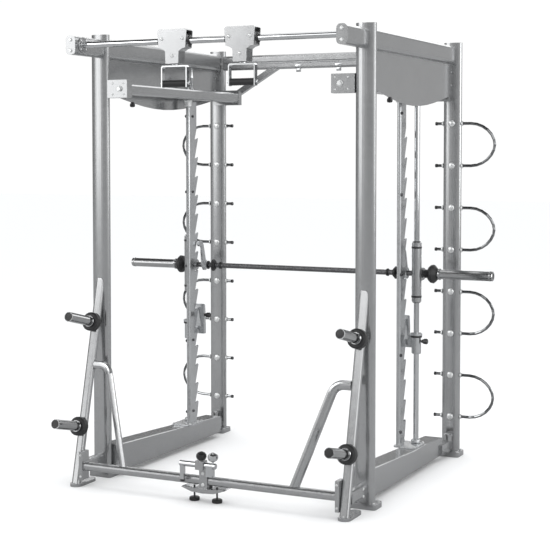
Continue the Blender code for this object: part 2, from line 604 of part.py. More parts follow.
# ---------------------------------------------------------------- loop racks through the rear uprights
for side, s in SIDES:
    # a strip inside the hollow upright holds the ends of all the loops
    rack = hbox("loop_rack_" + side, "chrome", s, (POST_X - 0.009, POST_X + 0.009),
                (DEPTH - 0.006, DEPTH + 0.006), (LOOP_Z[-1] - 0.020, LOOP_Z[0] + 0.020))
    for k in range(4):
        za, zb = LOOP_Z[2 * k], LOOP_Z[2 * k + 1]
        nose = oval(LOOP_OUT - LOOP_R - LOOP_NOSE, (za + zb) / 2, LOOP_NOSE, (za - zb) / 2, LOOP_CURVE, 24)
        bend = [(s * x, DEPTH, z) for x, z in nose[6::-1] + nose[:17:-1]]
        path = [(s * LOOP_IN, DEPTH, za)] + bend + [(s * LOOP_IN, DEPTH, zb)]
        add(rack, bar_along("loop_%s_%d" % (side, k), "chrome", path, LOOP_R, TOOLS))

# ---------------------------------------------------------------- bench clamp on the crossbar
yc, zc = CROSS_Y, CROSS_Z
front = yc - 0.0233
core = box("clamp_body", "paint", (-0.020, front - 0.006, 0.060), (0.022, front, 0.176))
hook_top = box("clamp_top", "paint", (-0.020, front - 0.004, zc + 0.0203),
               (0.022, yc + 0.030, zc + 0.0265), TOOLS)
hook_back = box("clamp_back", "paint", (-0.020, yc + 0.0233, 0.066),
                (0.022, yc + 0.030, zc + 0.024), TOOLS)
boat = [(-0.116, 0.066), (-0.060, 0.048), (0.000, 0.044), (0.060, 0.048), (0.116, 0.066),
        (0.110, 0.071), (0.050, 0.0665), (-0.050, 0.0665), (-0.110, 0.071)]
base = prism("clamp_base", "paint", boat, "y", front - 0.010, yc + 0.034, TOOLS)
add(core, hook_top)
add(core, base)
add(core, hook_back)
foot_x = 0.061
foot_y = yc
for side, s in SIDES:
    cut(core, lathe("foot_bore_" + side, "paint", [(0.03, 0.0048), (0.09, 0.0048)], "z",
                    (s * foot_x, foot_y), 12, 0, TOOLS))
    lathe("clamp_foot_" + side, "rubber",
          [(0.0, 0.023), (0.002, 0.025), (0.014, 0.025), (0.017, 0.021), (0.018, 0.0045),
           (0.075, 0.0045)], "z", (s * foot_x, foot_y), 16)

# sliding arm: a round bar held in the head of the clamp, with a down-turned end
head = box("clamp_head", "paint", (-0.020, front - 0.046, 0.164), (0.022, front - 0.003, 0.206), TOOLS)
add(core, head)
arm_y, arm_z = front - 0.026, 0.185
cut(core, lathe("clamp_arm_bore", "paint", [(-0.05, 0.0143), (0.05, 0.0143)], "x", (arm_y, arm_z),
                20, 0, TOOLS))
arm = lathe("clamp_arm", "chrome", [(-0.112, 0.012), (-0.110, 0.014), (0.080, 0.014), (0.082, 0.012)],
            "x", (arm_y, arm_z), 20)
add(arm, box("clamp_arm_drop", "chrome", (-0.108, arm_y - 0.009, 0.108),
             (-0.088, arm_y + 0.009, 0.186), TOOLS))
add(arm, box("clamp_arm_block", "chrome", (0.034, arm_y - 0.014, 0.134),
             (0.068, arm_y + 0.014, 0.186), TOOLS))
cut(core, lathe("lock_bore", "paint", [(0.195, 0.0048), (0.22, 0.0048)], "z", (0.004, arm_y), 12, 0, TOOLS))
z = arm_z + 0.0147
knob = [(z, 0.0045), (z + 0.0075, 0.0045), (z + 0.0080, 0.012), (z + 0.014, 0.021),
        (z + 0.024, 0.025), (z + 0.036, 0.024), (z + 0.045, 0.016), (z + 0.049, 0.006)]
lathe("clamp_knob", "plastic", knob, "z", (0.004, arm_y), 14)
add(arm, lathe("clamp_arm_knob", "chrome", [(arm_z + 0.005, 0.0045)] + knob[1:], "z", (0.066, arm_y),
               14, 0, TOOLS))
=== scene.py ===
"""Looks of the smith machine: camera, studio, materials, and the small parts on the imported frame."""
import json
import math

import bmesh
import bpy
from mathutils import Matrix, Vector, noise


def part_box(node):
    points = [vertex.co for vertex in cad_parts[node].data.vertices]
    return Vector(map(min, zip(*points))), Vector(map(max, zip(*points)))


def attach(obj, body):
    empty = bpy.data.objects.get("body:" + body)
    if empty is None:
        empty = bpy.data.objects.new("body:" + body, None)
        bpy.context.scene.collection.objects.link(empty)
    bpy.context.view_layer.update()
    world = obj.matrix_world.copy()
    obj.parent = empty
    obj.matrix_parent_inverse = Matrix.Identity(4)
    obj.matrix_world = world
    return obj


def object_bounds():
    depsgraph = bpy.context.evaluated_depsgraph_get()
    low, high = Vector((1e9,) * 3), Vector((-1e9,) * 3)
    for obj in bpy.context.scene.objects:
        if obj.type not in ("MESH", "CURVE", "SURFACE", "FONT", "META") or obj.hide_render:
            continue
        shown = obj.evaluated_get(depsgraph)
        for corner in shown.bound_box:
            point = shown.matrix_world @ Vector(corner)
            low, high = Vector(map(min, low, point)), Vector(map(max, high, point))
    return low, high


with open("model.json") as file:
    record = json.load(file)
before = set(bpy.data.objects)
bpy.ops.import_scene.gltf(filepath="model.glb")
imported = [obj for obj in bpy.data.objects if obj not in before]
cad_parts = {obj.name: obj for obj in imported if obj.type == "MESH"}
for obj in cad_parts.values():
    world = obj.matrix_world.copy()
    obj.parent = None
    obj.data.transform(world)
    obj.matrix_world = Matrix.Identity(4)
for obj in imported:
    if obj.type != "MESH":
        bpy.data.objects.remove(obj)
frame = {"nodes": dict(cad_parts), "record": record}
CAD_LO, CAD_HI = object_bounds()
NODES = frame["nodes"]
SIDES = (("left", -1.0), ("right", 1.0))
BACK, FRONTWARD, UP, DOWN = (0, 1, 0), (0, -1, 0), (0, 0, 1), (0, 0, -1)
PROUD = 0.0002                  # a fitting stands this far off the face it sits on

# ---------------------------------------------------------------- camera
LENS, SENSOR, SHIFT_Y = 88.243, 36.0, -0.1
EYE_AT = (3.0691, -6.2075, 1.6473)
TILT, HEADING = 87.2116, 25.9522            # degrees

lens = bpy.data.cameras.new("camera")
lens.lens, lens.sensor_width, lens.shift_y = LENS, SENSOR, SHIFT_Y
eye = bpy.data.objects.new("camera", lens)
eye.location = EYE_AT
eye.rotation_euler = (math.radians(TILT), 0.0, math.radians(HEADING))
bpy.context.scene.collection.objects.link(eye)
bpy.context.scene.camera = eye


# ---------------------------------------------------------------- shader helpers
def shader(tree, kind, inputs=None, **settings):
    """A shader node; an input's value is a number, a colour or another node's output."""
    made = tree.nodes.new("ShaderNode" + kind)
    for key, value in settings.items():
        setattr(made, key, value)
    for key, value in (inputs or {}).items():
        socket = made.inputs[key]
        if isinstance(value, bpy.types.NodeSocket):
            tree.links.new(value, socket)
        else:
            socket.default_value = value
    return made


def maths(tree, operation, *values, clamp=False):
    """Output of a maths node."""
    return shader(tree, "Math", dict(enumerate(values)), operation=operation, use_clamp=clamp).outputs[0]


def ramp(tree, factor, stops):
    """Colour ramp through (position, value) stops, a value is a grey level or a colour."""
    made = shader(tree, "ValToRGB", {"Fac": factor})
    band = made.color_ramp
    band.interpolation = "EASE"
    while len(band.elements) < len(stops):
        band.elements.new(0.5)
    for element, (place, value) in zip(band.elements, stops):
        element.position = place
        element.color = (value, value, value, 1.0) if isinstance(value, float) else value
    return made.outputs["Color"]


# ---------------------------------------------------------------- studio
# What reflections see: brightness once round the horizon, then from the horizon (0) to the zenith (1).
ROUND_ABOUT = [(0.00, 0.22), (0.06, 0.24), (0.115, 0.60), (0.140, 2.60), (0.162, 2.60), (0.182, 0.70),
               (0.21, 0.46), (0.30, 0.46), (0.37, 0.95), (0.44, 2.00), (0.57, 1.90), (0.64, 0.58),
               (0.72, 0.54), (0.78, 0.30), (0.83, 0.14), (0.93, 0.30)]
OVERHEAD_SHARE = [(0.0, 0.0), (0.09, 0.05), (0.17, 1.0)]
OVERHEAD_STRIP = [(0.15, 0.18), (0.19, 2.10), (0.33, 2.10), (0.38, 0.16), (0.60, 0.10)]
FILL_COLOUR, FILL_STRENGTH, BACKDROP_STRENGTH = (0.98, 0.99, 1.0, 1.0), 1.05, 1.02
WHITE = (1.0, 1.0, 1.0, 1.0)
# name, place, the point it is turned to, size, power
SOFTBOXES = (("key", (-3.4, -5.2, 4.2), (0, 0, 1.0), (2.4, 2.4), 60),
             ("side", (5.4, -0.8, 2.6), (0, 0, 1.2), (1.0, 3.2), 40),
             ("top", (0.0, 0.6, 5.6), (0, 0, 0), (4.0, 4.0), 60))


def studio():
    """White room: even fill, with softboxes and dark flats that only reflections pick up."""
    world = bpy.data.worlds.new("studio")
    world.use_nodes = True
    bpy.context.scene.world = world
    tree = world.node_tree
    tree.nodes.clear()
    split = shader(tree, "SeparateXYZ", {"Vector": shader(tree, "TexCoord").outputs["Generated"]})
    turn = maths(tree, "ARCTAN2", split.outputs["Y"], split.outputs["X"])
    turn = maths(tree, "MULTIPLY_ADD", turn, 0.5 / math.pi, 0.5)
    up = maths(tree, "ARCSINE", split.outputs["Z"])
    height = maths(tree, "DIVIDE", up, math.pi / 2, clamp=True)
    seen = shader(tree, "Mix", {"Factor": ramp(tree, height, OVERHEAD_SHARE),
                                "A": ramp(tree, turn, ROUND_ABOUT),
                                "B": ramp(tree, height, OVERHEAD_STRIP)}, data_type="RGBA")
    rays = shader(tree, "LightPath")
    fill = shader(tree, "Background", {"Color": FILL_COLOUR, "Strength": FILL_STRENGTH})
    shine = shader(tree, "Background", {"Color": seen.outputs[2], "Strength": 1.0})
    backdrop = shader(tree, "Background", {"Color": WHITE, "Strength": BACKDROP_STRENGTH})
    mixed = shader(tree, "MixShader", {0: rays.outputs["Is Glossy Ray"], 1: fill.outputs[0],
                                       2: shine.outputs[0]})
    mixed = shader(tree, "MixShader", {0: rays.outputs["Is Camera Ray"], 1: mixed.outputs[0],
                                       2: backdrop.outputs[0]})
    shader(tree, "OutputWorld", {"Surface": mixed.outputs[0]})


def softbox(name, spot, aim, size, power):
    """Rectangular light at a spot, turned to a point."""
    light = bpy.data.lights.new(name, "AREA")
    light.shape, light.size, light.size_y, light.energy = "RECTANGLE", size[0], size[1], power
    obj = bpy.data.objects.new(name, light)
    obj.location = spot
    obj.rotation_euler = (Vector(aim) - Vector(spot)).to_track_quat("-Z", "Y").to_euler()
    bpy.context.scene.collection.objects.link(obj)


studio()
for box in SOFTBOXES:
    softbox(*box)
bpy.context.scene.view_settings.view_transform = "Standard"

# ---------------------------------------------------------------- materials
EDGE_RADIUS, EDGE_SAMPLES = 0.0012, 4       # rounding that the shading gives to every edge
MEDIUM_RATE = 14                            # the medium texture is this many times finer than the slow one
SLOW_SHARE, MEDIUM_SHARE = 0.55, 0.45
WEAR_GAIN, WEAR_MOST = 9.0, 0.6             # how fast wear comes up at an edge, and how far


def surface(name, colour, metallic, rough, vary, grain, edge, patch, swirl=None):
    """Procedural finish.

    vary: strength of the slow colour change; grain: (scale, bump) of the fine texture;
    edge: colour that wear shows along the edges; patch: how often the slow change repeats
    in a metre; swirl: stretch of the grain along the axes, as brushing leaves it.
    """
    mat = bpy.data.materials.new(name)
    mat.use_nodes = True
    tree = mat.node_tree
    main = tree.nodes["Principled BSDF"]
    at = shader(tree, "TexCoord").outputs["Object"]
    slow = shader(tree, "TexNoise", {"Vector": at, "Scale": patch, "Detail": 4.0, "Roughness": 0.55})
    medium = shader(tree, "TexNoise", {"Vector": at, "Scale": patch * MEDIUM_RATE, "Detail": 5.0,
                                       "Roughness": 0.6})
    stretched = at
    if swirl:
        stretched = shader(tree, "Mapping", {"Vector": at, "Scale": swirl}).outputs["Vector"]
    fine = shader(tree, "TexNoise", {"Vector": stretched, "Scale": grain[0], "Detail": 3.0, "Roughness": 0.7})
    blend = maths(tree, "MULTIPLY_ADD", medium.outputs[0], MEDIUM_SHARE,
                  maths(tree, "MULTIPLY", slow.outputs[0], SLOW_SHARE))
    dark = tuple(c * (1 - vary) for c in colour) + (1.0,)
    light = tuple(min(1.0, c * (1 + vary)) for c in colour) + (1.0,)
    shade = ramp(tree, blend, [(0.32, dark), (0.68, light)])
    rim = shader(tree, "Bevel", {"Radius": EDGE_RADIUS}, samples=EDGE_SAMPLES)
    flat = shader(tree, "NewGeometry").outputs["Normal"]
    bend = shader(tree, "VectorMath", {0: rim.outputs[0], 1: flat}, operation="DOT_PRODUCT")
    worn = maths(tree, "MULTIPLY", maths(tree, "SUBTRACT", 1.0, bend.outputs["Value"]),
                 maths(tree, "MULTIPLY", medium.outputs[0], WEAR_GAIN), clamp=True)
    worn = maths(tree, "MULTIPLY", worn, WEAR_MOST)
    shade = shader(tree, "Mix", {"Factor": worn, "A": shade, "B": edge + (1.0,)}, data_type="RGBA").outputs[2]
    tree.links.new(shade, main.inputs["Base Color"])
    main.inputs["Metallic"].default_value = metallic
    spread = maths(tree, "MULTIPLY_ADD", maths(tree, "ADD", medium.outputs[0], fine.outputs[0]), rough * 0.5,
                   rough * 0.5)
    tree.links.new(spread, main.inputs["Roughness"])
    bump = shader(tree, "Bump", {"Height": fine.outputs[0], "Distance": 0.001, "Strength": grain[1],
                                 "Normal": rim.outputs[0]})
    tree.links.new(bump.outputs[0], main.inputs["Normal"])
    return mat


def knurled(mat, middle, radius, half, pitch, depth):
    """Adds a diamond knurl round the X axis to a bar's material, as far as half its length each way."""
    tree = mat.node_tree
    main = tree.nodes["Principled BSDF"]
    split = shader(tree, "SeparateXYZ", {"Vector": shader(tree, "TexCoord").outputs["Object"]})
    y = maths(tree, "SUBTRACT", split.outputs["Y"], middle[0])
    z = maths(tree, "SUBTRACT", split.outputs["Z"], middle[1])
    turn = maths(tree, "MULTIPLY", maths(tree, "ARCTAN2", z, y), radius)
    lines = []
    for way in (1.0, -1.0):
        run = maths(tree, "MULTIPLY_ADD", turn, way, split.outputs["X"])
        lines.append(maths(tree, "PINGPONG", run, pitch))
    groove = maths(tree, "DIVIDE", maths(tree, "MINIMUM", *lines), pitch)
    inside = maths(tree, "LESS_THAN", maths(tree, "ABSOLUTE", split.outputs["X"]), half)
    height = maths(tree, "MULTIPLY", groove, inside)
    bump = shader(tree, "Bump", {"Height": height, "Distance": depth, "Strength": 0.8})
    tree.links.new(main.inputs["Normal"].links[0].from_socket, bump.inputs["Normal"])
    tree.links.new(bump.outputs[0], main.inputs["Normal"])


PAINT = surface("satin_paint", (0.40, 0.405, 0.41), metallic=0.85, rough=0.19, vary=0.05,
                grain=(900.0, 0.015), edge=(0.60, 0.61, 0.62), patch=2.2)
CHROME = surface("chrome_plate", (0.55, 0.56, 0.57), metallic=1.0, rough=0.07, vary=0.05,
                 grain=(500.0, 0.02), edge=(0.74, 0.75, 0.76), patch=5.0)
STEEL = surface("zinc_steel", (0.50, 0.51, 0.52), metallic=0.90, rough=0.22, vary=0.09,
                grain=(220.0, 0.04), edge=(0.66, 0.67, 0.68), patch=7.0, swirl=(1.0, 1.0, 0.06))
RUBBER = surface("black_rubber", (0.012, 0.012, 0.013), metallic=0.0, rough=0.50, vary=0.25,
                 grain=(700.0, 0.25), edge=(0.05, 0.05, 0.05), patch=9.0)
PLASTIC = surface("black_plastic", (0.010, 0.010, 0.011), metallic=0.0, rough=0.24, vary=0.20,
                  grain=(1200.0, 0.12), edge=(0.05, 0.05, 0.05), patch=9.0)
BOLT = surface("dark_bolt", (0.07, 0.07, 0.075), metallic=0.9, rough=0.34, vary=0.15,
               grain=(900.0, 0.12), edge=(0.30, 0.30, 0.31), patch=20.0)
ZINC = surface("bright_zinc", (0.74, 0.75, 0.75), metallic=0.75, rough=0.28, vary=0.06,
               grain=(800.0, 0.08), edge=(0.85, 0.85, 0.85), patch=20.0)
WELD = surface("painted_weld", (0.40, 0.405, 0.41), metallic=0.70, rough=0.40, vary=0.10,
               grain=(420.0, 0.35), edge=(0.55, 0.56, 0.57), patch=12.0)
BARMETAL = surface("bar_steel", (0.14, 0.14, 0.145), metallic=0.95, rough=0.28, vary=0.12,
                   grain=(700.0, 0.10), edge=(0.42, 0.42, 0.43), patch=9.0)
LOOPMETAL = surface("dark_chrome", (0.20, 0.205, 0.21), metallic=1.0, rough=0.08, vary=0.08,
                    grain=(500.0, 0.02), edge=(0.40, 0.40, 0.41), patch=5.0)
HORNMETAL = surface("worn_chrome", (0.40, 0.405, 0.41), metallic=1.0, rough=0.10, vary=0.08,
                    grain=(600.0, 0.03), edge=(0.60, 0.60, 0.61), patch=9.0)

bar_lo, bar_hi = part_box("bar")
BAR_MID = (bar_lo + bar_hi) / 2
BAR_RADIUS = 0.014
COLLAR_X, INNER_RING_X = 0.544, 0.500       # rubber rings on the bar, from its middle
knurled(BARMETAL, (BAR_MID.y, BAR_MID.z), BAR_RADIUS, COLLAR_X - 0.02, pitch=0.0016, depth=0.0006)

LOOKS = {"frame_paint": PAINT, "chrome": CHROME, "rack_steel": STEEL, "black_rubber": RUBBER,
         "black_plastic": PLASTIC}
OWN_LOOKS = {"bar": BARMETAL}
for side, s in SIDES:
    OWN_LOOKS["bar_sleeve_" + side] = HORNMETAL
    OWN_LOOKS["loop_rack_" + side] = LOOPMETAL
    for level in ("upper", "lower"):
        OWN_LOOKS["storage_horn_%s_%s" % (level, side)] = HORNMETAL
for entry in frame["record"]["subparts"]:
    slots = NODES[entry["node"]].data.materials
    slots.clear()
    slots.append(OWN_LOOKS.get(entry["node"], LOOKS[entry["material_slot"]]))

# ---------------------------------------------------------------- floor
# The floor is evenly pale, but glossy rays see it mid grey instead: painted shade in the reflections on the
# metal.
FLOOR_TONE, FLOOR_REFLECTION_SHADE = (0.96, 0.96, 0.96, 1.0), (0.50, 0.50, 0.50, 1.0)
FLOOR_HALF, FLOOR_DROP = 40.0, 0.0005

floor_mat = bpy.data.materials.new("pale_floor")
floor_mat.use_nodes = True
floor_tree = floor_mat.node_tree
matte = floor_tree.nodes["Principled BSDF"]
# painted reflection shade: glossy rays get the darker grey, all other rays the floor's own pale tone
floor_tone_and_reflection_shade = shader(floor_tree, "Mix", {"Factor": shader(floor_tree, "LightPath").outputs["Is Glossy Ray"],
                                  "A": FLOOR_TONE, "B": FLOOR_REFLECTION_SHADE}, data_type="RGBA")
floor_tree.links.new(floor_tone_and_reflection_shade.outputs[2], matte.inputs["Base Color"])
matte.inputs["Roughness"].default_value = 0.9
matte.inputs["Specular IOR Level"].default_value = 0.0
sheet = bmesh.new()
bmesh.ops.create_grid(sheet, x_segments=2, y_segments=2, size=FLOOR_HALF)
floor_mesh = bpy.data.meshes.new("floor")
sheet.to_mesh(floor_mesh)
sheet.free()
floor = bpy.data.objects.new("floor", floor_mesh)
floor.location = (0, 0, CAD_LO.z - FLOOR_DROP)
floor_mesh.materials.append(floor_mat)
bpy.context.scene.collection.objects.link(floor)

# ---------------------------------------------------------------- mesh helpers
SHARP_ANGLE = math.radians(35.0)            # faces meeting at more than this keep a sharp edge
NIL = 1e-6
BEAD_RIPPLE, BEAD_SIDES = 0.18, 8


def finish_piece(name, bm, mat, body):
    """Turns a bmesh in frame coordinates into a piece that rides on a body."""
    mesh = bpy.data.meshes.new(name)
    bmesh.ops.recalc_face_normals(bm, faces=bm.faces)
    bm.to_mesh(mesh)
    bm.free()
    mesh.shade_smooth()
    mesh.set_sharp_from_angle(angle=SHARP_ANGLE)
    mesh.materials.append(mat)
    obj = bpy.data.objects.new(name, mesh)
    bpy.context.scene.collection.objects.link(obj)
    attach(obj, body)


def mid(node):
    """Centre of a node's box."""
    lo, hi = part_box(node)
    return (lo + hi) / 2


def inner_outer(node, s):
    """X of a node's faces towards the machine's middle and away from it."""
    lo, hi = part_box(node)
    return (lo.x, hi.x) if s > 0 else (hi.x, lo.x)


def square_to(axis):
    """Rotation that takes +Z to the axis."""
    return Vector(axis).to_track_quat("Z", "Y").to_matrix()


def circle(centre, spin, radius, height, n):
    """Points of a circle about an axis."""
    turns = [2 * math.pi * k / n for k in range(n)]
    return [Vector(centre) + spin @ Vector((radius * math.cos(t), radius * math.sin(t), height))
            for t in turns]


def ring_path(centre, axis, radius, n=40):
    """Closed circle of points about an axis, the first one repeated at the end."""
    points = circle(centre, square_to(axis), radius, 0, n)
    return points + points[:1]


def join(bm, a, b, n):
    """Faces between two neighbouring rings of vertices; a ring may be a single vertex."""
    for k in range(n):
        quad = [a[k % len(a)], a[(k + 1) % len(a)], b[(k + 1) % len(b)], b[k % len(b)]]
        corners = list(dict.fromkeys(quad))
        if len(corners) > 2:
            bm.faces.new(corners)


def close_ends(bm, rings):
    """Faces over the first and the last ring."""
    for ring in (rings[0], rings[-1]):
        if len(ring) > 1:
            bm.faces.new(ring)


def turned(bm, centre, axis, profile, n=24):
    """Solid of revolution through (height, radius) pairs along the axis from the centre."""
    spin = square_to(axis)
    rings = [[bm.verts.new(p) for p in (circle(centre, spin, r, h, n) if r > NIL
                                        else circle(centre, spin, 0.0, h, 1))] for h, r in profile]
    for a, b in zip(rings, rings[1:]):
        join(bm, a, b, n)
    close_ends(bm, rings)


def turned_ring(bm, centre, axis, profile, n=24):
    """Closed ring: the profile is a loop that never meets the axis."""
    spin = square_to(axis)
    rings = [[bm.verts.new(p) for p in circle(centre, spin, r, h, n)] for h, r in profile]
    for a, b in zip(rings, rings[1:] + rings[:1]):
        join(bm, a, b, n)


def eased(bore, shoulder, outer, ease, length, start=0.0):
    """Profile of a ring whose two rims are eased from the outer radius down to the shoulder's."""
    end = start + length
    return [(start, bore), (start, shoulder), (start + ease, outer), (end - ease, outer), (end, shoulder),
            (end, bore)]


def hexagon(bm, centre, axis, across, high, twist=0.0):
    """Hexagon head with a chamfered crown."""
    spin = square_to(axis) @ Matrix.Rotation(twist, 3, "Z")
    r = across / math.sqrt(3)
    rings = [[bm.verts.new(p) for p in circle(centre, spin, r * share, h, 6)]
             for h, share in ((0.0, 1.0), (high * 0.78, 1.0), (high, 0.82))]
    for a, b in zip(rings, rings[1:]):
        join(bm, a, b, 6)
    close_ends(bm, rings)


def bolt(bm, centre, axis, size, twist=0.0):
    """Hexagon bolt on a washer, the size is its thread diameter."""
    axis = Vector(axis)
    turned(bm, centre, axis, [(0, size), (size * 0.14, size * 1.06), (size * 0.2, size)], 20)
    hexagon(bm, Vector(centre) + axis * size * 0.2, axis, size * 1.6, size * 0.62, twist)


def button(bm, centre, axis, size):
    """Dome head with a round socket, the size is its radius."""
    turned(bm, centre, axis, [(0, size), (size * 0.25, size * 0.98), (size * 0.5, size * 0.8),
                              (size * 0.62, size * 0.5), (size * 0.62, size * 0.34),
                              (size * 0.3, size * 0.32)], 18)


def dense(points, step=0.004):
    """Points along a polyline, one step apart."""
    out = [Vector(points[0])]
    for a, b in zip(points, points[1:]):
        a, b = Vector(a), Vector(b)
        count = max(1, int((b - a).length / step))
        out += [a.lerp(b, (k + 1) / count) for k in range(count)]
    return out


def bead(bm, path, radius):
    """Weld bead along a path, with the ripples of its passes."""
    rings = []
    for i, p in enumerate(path):
        a, b = path[max(i - 1, 0)], path[min(i + 1, len(path) - 1)]
        spin = square_to((b - a).normalized())
        r = radius * (1 + BEAD_RIPPLE * (0.5 * math.sin(i * 2.1) + noise.noise(p * 90)))
        rings.append([bm.verts.new(v) for v in circle(p, spin, r, 0, BEAD_SIDES)])
    for a, b in zip(rings, rings[1:]):
        join(bm, a, b, BEAD_SIDES)
    close_ends(bm, rings)


def slab(bm, lo, hi, bevel):
    """Block between two corners with its edges rounded."""
    made = bmesh.ops.create_cube(bm, size=1.0)["verts"]
    size, centre = Vector(hi) - Vector(lo), (Vector(hi) + Vector(lo)) / 2
    for v in made:
        v.co = Vector((v.co.x * size.x, v.co.y * size.y, v.co.z * size.z)) + centre
    edges = list({e for v in made for e in v.link_edges})
    bmesh.ops.bevel(bm, geom=edges, offset=bevel, segments=2, affect="EDGES", profile=0.6)


# ---------------------------------------------------------------- base, front legs, catch racks
# Depths are from the centre plane of the front uprights, widths from the middle, heights from the floor.
PLANE_Y = mid("upright_front_left").y
LEAN = math.atan2(0.220, 0.940)             # the front legs' lean from upright
ROD_BORE, POST_BORE = 0.0146, 0.0117        # holes of the rings on a guide rod and on a rack's post

SHOE_FACE_Z, LEG_FOOT_Z, LEG_WELD_Z = 0.0253, 0.0145, 0.0155
SHOE_BOLT_IN = 0.014                        # the shoes' bolts, in from the base beam's outer face
LEG_WELD_X, LEG_WELD_RADIUS = 0.0235, 0.0026
CROSSBAR_BOLT_Z, CROSSBAR_WELD_Z, CROSSBAR_WELD_Y = (0.052, 0.158), (0.0795, 0.1205), (-0.243, -0.203)
BRACKET_BOLT_Z, BRACKET_X, BRACKET_Y = (0.073, 0.107), 0.0222, -0.075
REAR_POST_Y, REAR_POST_Z = 1.2020, 0.0852   # domed bolt post where the base meets the rear upright
REAR_POST = [(0.0, 0.0200), (0.026, 0.0200), (0.028, 0.0235), (0.034, 0.0235), (0.038, 0.0200), (0.039, 0.0)]

POST_X, POST_Y = 0.620, 0.710
SEAT_UP = 0.0084                            # the rack's foot plate, above the rod's lower end
FOOT_BOLTS = ((0.608, 0.700), (0.608, 0.830), (0.711, 0.700), (0.711, 0.830))
ROD_COLLAR = [(0, ROD_BORE), (0, 0.0235), (0.003, 0.0250), (0.013, 0.0250), (0.016, 0.0230),
              (0.016, ROD_BORE)]
THROUGH_BOLT_Z = (1.857, 1.440, 1.030, 0.613, 0.215)
NECK_Z = 1.912
NECK = [(0, POST_BORE), (0, 0.0175), (0.002, 0.0190), (0.024, 0.0190), (0.028, 0.0230), (0.0315, 0.0230),
        (0.0315, POST_BORE)]

for side, s in SIDES:
    out = Vector((s, 0, 0))
    bolts, cap, welds = bmesh.new(), bmesh.new(), bmesh.new()
    lo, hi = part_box("base_beam_" + side)
    outer = inner_outer("base_beam_" + side, s)[1]
    for y in (lo.y + 0.016, lo.y + 0.078, hi.y - 0.090, hi.y - 0.014):
        bolt(bolts, (outer - s * SHOE_BOLT_IN, y, SHOE_FACE_Z), UP, 0.007, y)
    # front leg: floor bolt and welds on its foot, bracket screws against the upright
    leg_lo, leg_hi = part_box("front_leg_" + side)
    leg_x, foot_y = (leg_lo.x + leg_hi.x) / 2, leg_lo.y + 0.033
    bolt(bolts, (leg_x, leg_lo.y + 0.022, LEG_FOOT_Z), UP, 0.008, 0.3)
    for x in (leg_x - LEG_WELD_X, leg_x + LEG_WELD_X):
        bead(welds, dense([(x, foot_y + 0.012, LEG_WELD_Z), (x, foot_y + 0.042, LEG_WELD_Z)]),
             LEG_WELD_RADIUS)
    for z in BRACKET_BOLT_Z:
        button(bolts, (leg_x + s * BRACKET_X, PLANE_Y + BRACKET_Y, z), out, 0.0075)
    # crossbar: bolts and welds on its end plates
    cross_front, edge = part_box("front_crossbar")[0].y, inner_outer("front_crossbar", s)[1]
    for z in CROSSBAR_BOLT_Z:
        bolt(bolts, (edge - s * 0.0105, cross_front - PROUD, z), FRONTWARD, 0.0055, z * 9)
    for z in CROSSBAR_WELD_Z:
        bead(welds, dense([(edge - s * 0.0215, PLANE_Y + y, z) for y in CROSSBAR_WELD_Y]), LEG_WELD_RADIUS)
    turned(cap, (leg_x + s * 0.001, PLANE_Y + REAR_POST_Y, REAR_POST_Z), UP, REAR_POST, 24)
    finish_piece("floor_bolts_" + side, bolts, ZINC, "frame")
    finish_piece("rear_post_" + side, cap, PAINT, "frame")

    # rack foot: bolts at its corners, weld round the post, set ring on the rod
    rod = mid("guide_rod_" + side)
    seat_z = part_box("guide_rod_" + side)[0].z + SEAT_UP
    post_x, post_y = s * POST_X, PLANE_Y + POST_Y
    feet, collar = bmesh.new(), bmesh.new()
    for x, y in FOOT_BOLTS:
        bolt(feet, (s * x, PLANE_Y + y, seat_z), UP, 0.0070, x * 7)
    turned_ring(collar, (rod.x, rod.y, seat_z), UP, ROD_COLLAR, 32)
    bead(welds, ring_path((post_x, post_y, seat_z + 0.0005), UP, 0.0127), 0.0024)
    finish_piece("rack_foot_bolts_" + side, feet, ZINC, "frame")
    finish_piece("rod_collar_" + side, collar, STEEL, "frame")
    finish_piece("welds_" + side, welds, WELD, "frame")

    # rack: five through bolts with their nuts, a light collar where the post meets the guide beam
    heads, neck = bmesh.new(), bmesh.new()
    for z in THROUGH_BOLT_Z:
        bolt(heads, (s * 0.6315, post_y, z), out, 0.0085, z)
        bolt(heads, (s * 0.6157, PLANE_Y + 0.752, z), -out, 0.0070, z)
    finish_piece("rack_bolts_" + side, heads, BOLT, "frame")
    turned_ring(neck, (post_x, post_y, NECK_Z), UP, NECK, 32)
    finish_piece("rack_neck_" + side, neck, ZINC, "frame")

# ---------------------------------------------------------------- storage horns
HORN_RADIUS = 0.024
HORN_AXIS = Vector((0, -math.cos(LEAN), math.sin(LEAN)))
HORN_PLUG = [(0.0, 0.0208), (0.0055, 0.0208), (0.0075, 0.0190), (0.0082, 0.0)]
PLUG_BACK, RING_BACK, ROOT_BACK = 0.010, 0.186, 0.2312       # back along the horn from its tip

for side, s in SIDES:
    for level in ("upper", "lower"):
        lo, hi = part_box("storage_horn_%s_%s" % (level, side))
        tip = Vector(((lo.x + hi.x) / 2, lo.y + HORN_RADIUS * math.sin(LEAN),
                      hi.z - HORN_RADIUS * math.cos(LEAN)))
        plug, weld = bmesh.new(), bmesh.new()
        turned(plug, tip - HORN_AXIS * PLUG_BACK, HORN_AXIS, HORN_PLUG, 28)
        finish_piece("horn_plug_%s_%s" % (level, side), plug, PLASTIC, "frame")
        bead(weld, ring_path(tip - HORN_AXIS * ROOT_BACK, HORN_AXIS, 0.0250), 0.0022)
        turned_ring(weld, tip - HORN_AXIS * RING_BACK, HORN_AXIS,
                    eased(0.0244, 0.0275, 0.0290, 0.002, 0.008), 28)
        finish_piece("horn_weld_%s_%s" % (level, side), weld, HORNMETAL, "frame")

